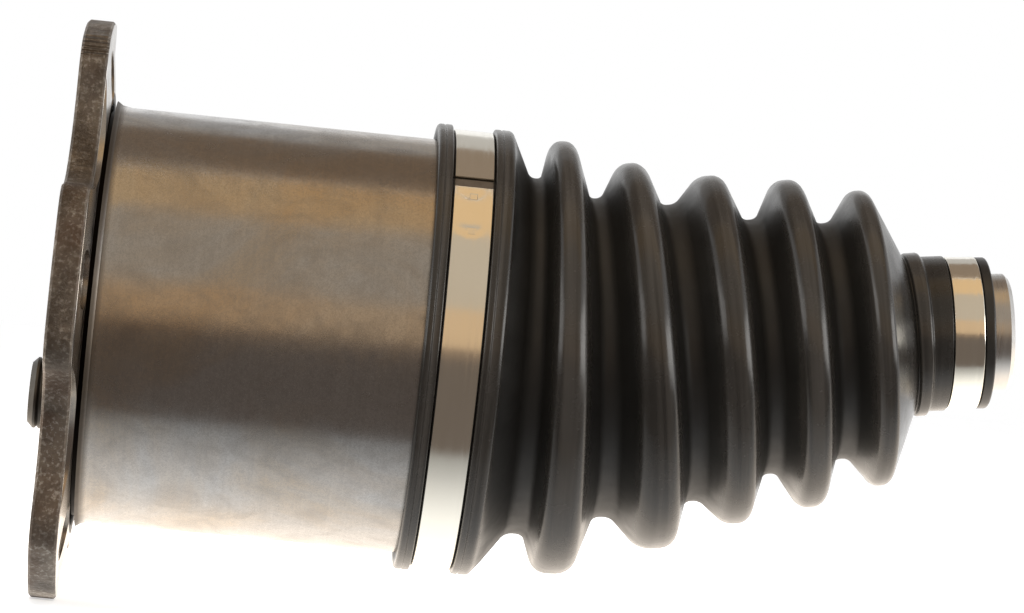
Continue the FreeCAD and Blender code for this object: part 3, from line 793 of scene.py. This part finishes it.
def press_squares(bm, start_degrees, places):
    """Shallow squares pressed into the outside of a strip, at distances from its end in degrees."""
    for place in places:
        want = math.radians(start_degrees + place)
        found = []
        for face in bm.faces:
            spot = face.calc_center_median()
            off = abs(math.remainder(math.atan2(spot.z, spot.y) - want, 2 * math.pi))
            outward = face.normal.dot(Vector((0, spot.y, spot.z)).normalized()) > FACES_OUT
            if abs(spot.x) < SQUARE_OFF_CENTRE and outward and off < math.radians(SQUARE_OFF_DEGREES):
                found.append((off, face))
        face = min(found, key=lambda item: item[0])[1]
        bmesh.ops.inset_individual(bm, faces=[face], thickness=SQUARE_MARGIN, depth=-SQUARE_DEPTH)
        for edge in {edge for corner in face.verts for edge in corner.link_edges}:
            edge.smooth = False


print("strip helpers ready")

# %% [markdown]
# The strip is bright and slightly warm, with fine rolling streaks round it. In the narrow gap between
# its ends a thin tongue lies underneath. It is painted dark, partly as old dirt and partly as the shade
# in the gap.

# %% Finishes of the clamps
bright = Recipe("polished_band")
streak = bright.noise(1.0, detail=4.0, source=bright.stretched((1600, 30, 30)))
cloud = bright.noise(45.0, detail=3.0)
bright_colour = bright.mixed(
    bright.between(cloud, 0.3, 0.7), paint((0.94, 0.90, 0.79)), paint((0.98, 0.95, 0.86))
)
bright_rough = bright.between(streak, 0.3, 0.7, 0.12, 0.2)
bright.finish(bright_colour, bright_rough, streak, 0.00002, Metallic=1.0)

grime_and_shade = Recipe("grimy_shaded_tongue")
grime_cloud = grime_and_shade.noise(600.0, detail=4.0)
# The tongue is painted dark: partly old dirt, partly painted shade in the gap between the band's ends.
grime_and_shade_colour = grime_and_shade.mixed(grime_cloud, paint((0.05, 0.036, 0.025)), paint((0.14, 0.11, 0.08)))
grime_rough = grime_and_shade.between(grime_cloud, 0.3, 0.7, 0.45, 0.7)
grime_and_shade.finish(grime_and_shade_colour, grime_rough, grime_cloud, 0.0001, Metallic=0.5)
print("two clamp finishes ready")

# %% [markdown]
# Both clamps come from one loop. The large one sits on the cuff over the housing and rides with it. The
# small one sits on the boot's end, tilted with the bar, and rides with the shaft.

# %% Two clamps
BAND_THICKNESS = 0.8
TONGUE_THICKNESS = 0.25
TONGUE_MARGIN = 0.15
TONGUE_PLAY = 0.4
OVER_THE_SEAT = 0.05
large_width, small_width = 8.8, 6.9
large_gap = (129.4, 133.3)
large_inner = seat_radius + OVER_THE_SEAT
large_place = Matrix.Translation(((seat_start + seat_end) / 2, 0, 0))
small_gap = (58.0, 63.0)
small_inner = small_seat_radius + OVER_THE_SEAT
small_middle = middle((small_seat_start + small_seat_end) / 2, boot_bow)
small_place = Matrix.Translation(small_middle) @ Matrix.Rotation(-resting_tilt, 4, "Y")
bands = [
    ("large_band", "housing", "large_clamp", large_inner, large_width, large_gap, large_place, 160),
    ("small_band", "shaft", "small_clamp", small_inner, small_width, small_gap, small_place, 96),
]
squares = {"large_band": (4.0, 15.0), "small_band": ()}
for name, body, node, inner, width, gap, place, steps in bands:
    section = strip_section(inner, width, BAND_THICKNESS)
    band = rolled_strip(section, gap[1], 360 - (gap[1] - gap[0]), steps)
    press_squares(band, gap[1], squares[name])
    bmesh.ops.transform(band, matrix=place, verts=band.verts)
    piece = make_piece(name, band, bright.material)
    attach(piece, body)
    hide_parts(node)
    half, outer = width / 2 - TONGUE_MARGIN, inner + TONGUE_THICKNESS
    under = [(-half, inner, 0), (half, inner, 0), (half, outer, 0.05), (-half, outer, 0.05)]
    tongue = rolled_strip(under, gap[0] + TONGUE_PLAY, gap[1] - gap[0] - 2 * TONGUE_PLAY, 4)
    bmesh.ops.transform(tongue, matrix=place, verts=tongue.verts)
    piece = make_piece(name + "_tongue", tongue, grime_and_shade.material)
    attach(piece, body)
    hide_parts(node)

# %% [markdown]
# The housing is one forging with three finishes: the rim of the flange is as it came from the die,
# rough and brownish, the faces and the round cup are turned in a lathe, and a thin film of oil has
# dried on the cup in clouds. The place on the piece says which finish shows: its distance along the
# axis, and its distance from the axis. This cell makes the patterns that all three draw on.

# %% Patterns of the housing
forged = Recipe("forged_and_turned_steel")
split = forged.node("ShaderNodeSeparateXYZ", {"Vector": forged.place})
along_axis, height = split.outputs["X"], split.outputs["Z"]
flat_place = forged.node(
    "ShaderNodeVectorMath", {0: forged.place, 1: (0, 1, 1)}, operation="MULTIPLY"
).outputs["Vector"]
from_axis = forged.node("ShaderNodeVectorMath", {0: flat_place}, operation="LENGTH").outputs["Value"]
turning = forged.noise(1.0, detail=4.0, rough=0.65, source=forged.stretched((1300, 14, 14)))
clouds = forged.noise(17.0, detail=5.0, rough=0.6, twist=1.2)
swirls = forged.noise(70.0, detail=5.0, rough=0.6, twist=1.6)
speckle = forged.noise(420.0, detail=5.0, rough=0.75)
ripple = forged.noise(1400.0, detail=1.0, twist=2.0)
glint = forged.noise(1100.0, detail=2.0, rough=0.6)
blotch = forged.noise(110.0, detail=5.0, rough=0.65)
print("patterns of the housing made")

# %% [markdown]
# The cup first. Its colour drifts between bare grey and a brown film, with fine rings from the lathe and
# a fine ripple over it. The swirls matter most in its gloss: where the film is thick the mirror image
# is foggier.

# %% Cup of the housing
cup_colour = forged.mixed(
    forged.between(clouds, 0.42, 0.62), paint((0.50, 0.49, 0.48)), paint((0.50, 0.43, 0.35))
)
darker_layers = [
    (swirls, 0.46, 0.66, 0.4, (0.30, 0.28, 0.26)),
    (turning, 0.4, 0.7, 0.16, (0.28, 0.27, 0.26)),
    (ripple, 0.42, 0.62, 0.42, (0.33, 0.32, 0.31)),
]
for pattern, low, high, share, colour in darker_layers:
    cup_colour = forged.mixed(forged.between(pattern, low, high, 0.0, share), cup_colour, paint(colour))
cup_rough = forged.plus(
    forged.between(swirls, 0.35, 0.65, 0.15, 0.25), forged.between(speckle, 0.3, 0.7, 0.0, 0.05)
)
cup_relief = forged.plus(forged.times(turning, 0.03), forged.times(ripple, 0.012))
print("cup finish mixed")

# %% [markdown]
# The rim of the flange is darker: brown blotches from the forge, a little rust in the clouds, and many
# tiny bright glints where the scale has come off. A few trimming marks lie high on the front lobe.

# %% Rim of the flange
MARK_SCALE = 314.0
MARK_DEPTH = 0.9
MARKS_FROM, MARKS_TO, MARKS_FADE = 56.5, 62.0, 0.5
rim_colour = forged.mixed(
    forged.between(blotch, 0.38, 0.62), paint((0.11, 0.092, 0.076)), paint((0.235, 0.20, 0.165))
)
rust = forged.between(clouds, 0.5, 0.62, 0.0, 0.5)
rim_colour = forged.mixed(rust, rim_colour, paint((0.13, 0.08, 0.055)))
glints = forged.times(
    forged.between(glint, 0.52, 0.66), forged.between(blotch, 0.4, 0.6, 0.15, 0.7)
)
rim_colour = forged.mixed(glints, rim_colour, paint((0.48, 0.45, 0.41)))
rim_rough = forged.between(speckle, 0.3, 0.7, 0.34, 0.62)
marks = forged.node(
    "ShaderNodeTexWave", {"Vector": forged.place, "Scale": MARK_SCALE, "Distortion": 0.6},
    wave_type="BANDS", bands_direction="Z",
).outputs["Fac"]
mark_zone = forged.times(
    forged.between(height, MARKS_FROM * MM, (MARKS_FROM + MARKS_FADE) * MM),
    forged.between(height, (MARKS_TO - MARKS_FADE) * MM, MARKS_TO * MM, 1.0, 0.0),
)
mark_relief = forged.times(forged.times(marks, mark_zone), MARK_DEPTH)
rim_relief = forged.plus(forged.times(speckle, 1.1), forged.plus(blotch, mark_relief))
print("rim finish mixed")

# %% [markdown]
# Each area is a mask made from the distance along the axis and from the axis. The rim lies between the
# flange's two faces and outside the round shoulder. The groove beside the cup is painted near black as
# shade, and a painted shade fades from it a little way up the cup.

# %% Masks of the housing
GROOVE_FADE = 0.05
in_flange = forged.between(
    along_axis, (flange_thickness - 0.12) * MM, (flange_thickness - 0.06) * MM, 1.0, 0.0
)
off_face = forged.between(along_axis, 0.02 * MM, 0.06 * MM)
outside = forged.between(from_axis, (can_radius - 0.9) * MM, (can_radius - 0.7) * MM)
on_rim = forged.times(forged.times(in_flange, off_face), outside)
groove_start = forged.between(along_axis, (flange_front - GROOVE_FADE) * MM, flange_front * MM)
groove_end = forged.between(along_axis, can_start * MM, (can_start + GROOVE_FADE) * MM, 1.0, 0.0)
deep = forged.between(from_axis, (can_radius + 0.7) * MM, (can_radius + 1.0) * MM, 1.0, 0.0)
groove = forged.times(forged.times(groove_start, groove_end), deep)
# Painted shade beside the groove, darkest there and fading over two millimetres up the cup; the cup is
# also rougher there.
shade_fading = forged.between(along_axis, (can_start + 0.6) * MM, (can_start + 2.4) * MM, 0.9, 0.0)
painted_shade_edge = forged.times(shade_fading, groove_start)
print("masks of the housing made")

# %% [markdown]
# Now the finishes are laid over each other by their masks, like paint through stencils: first the cup,
# then the rim, the painted shade beside the groove and the groove's painted shade.

# %% Housing finish
steel_colour = forged.mixed(on_rim, cup_colour, rim_colour)
# Painted shade on the cup next to the groove.
steel_colour = forged.mixed(painted_shade_edge, steel_colour, paint((0.055, 0.042, 0.03)))
# The groove's near black is painted shade in the recess.
steel_colour = forged.mixed(groove, steel_colour, paint((0.012, 0.009, 0.007)))
steel_rough = forged.mixed(on_rim, cup_rough, rim_rough, "FLOAT")
steel_rough = forged.plus(steel_rough, forged.times(painted_shade_edge, 0.3))
steel_relief = forged.mixed(on_rim, cup_relief, rim_relief, "FLOAT")
forged.finish(steel_colour, steel_rough, steel_relief, 0.0006, Metallic=1.0)
print("housing finish of", len(forged.tree.nodes), "nodes")

# %% [markdown]
# The pieces inside are ground or pressed steel, seen when the joint is opened or from behind. One
# recipe serves them all, with its own tone, gloss and grain for each.


# %% Finishes of the other steel pieces
def steel(name, dark, light, gloss, grain_scale, stretch=(1, 1, 1)):
    """A plain steel with clouds of tone and a fine grain."""
    recipe = Recipe(name)
    tone = recipe.noise(70.0, detail=4.0)
    fine = recipe.noise(grain_scale, detail=3.0, source=recipe.stretched(stretch))
    colour = recipe.mixed(recipe.between(tone, 0.35, 0.65), paint(dark), paint(light))
    rough = recipe.between(fine, 0.3, 0.7, gloss, gloss + 0.14)
    return recipe.finish(colour, rough, fine, 0.00002, Metallic=1.0)


ground_steel = steel("ground_steel", (0.55, 0.54, 0.53), (0.66, 0.65, 0.64), 0.18, 500.0)
pressed_steel = steel("pressed_steel", (0.40, 0.39, 0.38), (0.52, 0.51, 0.49), 0.3, 300.0)
dowel_steel = steel("dowel_steel", (0.05, 0.045, 0.04), (0.13, 0.12, 0.105), 0.34, 400.0)
spring_steel = steel("spring_steel", (0.13, 0.13, 0.14), (0.22, 0.22, 0.23), 0.3, 400.0)
turned_bar = steel("turned_bar", (0.50, 0.49, 0.48), (0.62, 0.61, 0.59), 0.24, 1.0, (1500, 15, 15))
print("five more steels ready")

# %% [markdown]
# A rigid piece of the frame keeps its shape. Only its material is exchanged for the finish made here.

# %% Finish for each rigid piece
node_finish = {
    "joint_housing": forged.material,
    "end_cover": pressed_steel,
    "locating_dowel": dowel_steel,
    "shaft_bar": turned_bar,
    "spider": ground_steel,
    "shaft_end_circlip": spring_steel,
    "shaft_stop_circlip": spring_steel,
}
for number in (1, 2, 3):
    for kind in ("outer_ring", "inner_roller", "needle_set"):
        node_finish[f"{kind}_{number}"] = ground_steel
    for kind in ("needle_washer", "trunnion_circlip"):
        node_finish[f"{kind}_{number}"] = spring_steel
for node_name, material in node_finish.items():
    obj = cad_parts[node_name]
    obj.data.materials.clear()
    obj.data.materials.append(material)
print(len(node_finish), "nodes finished")
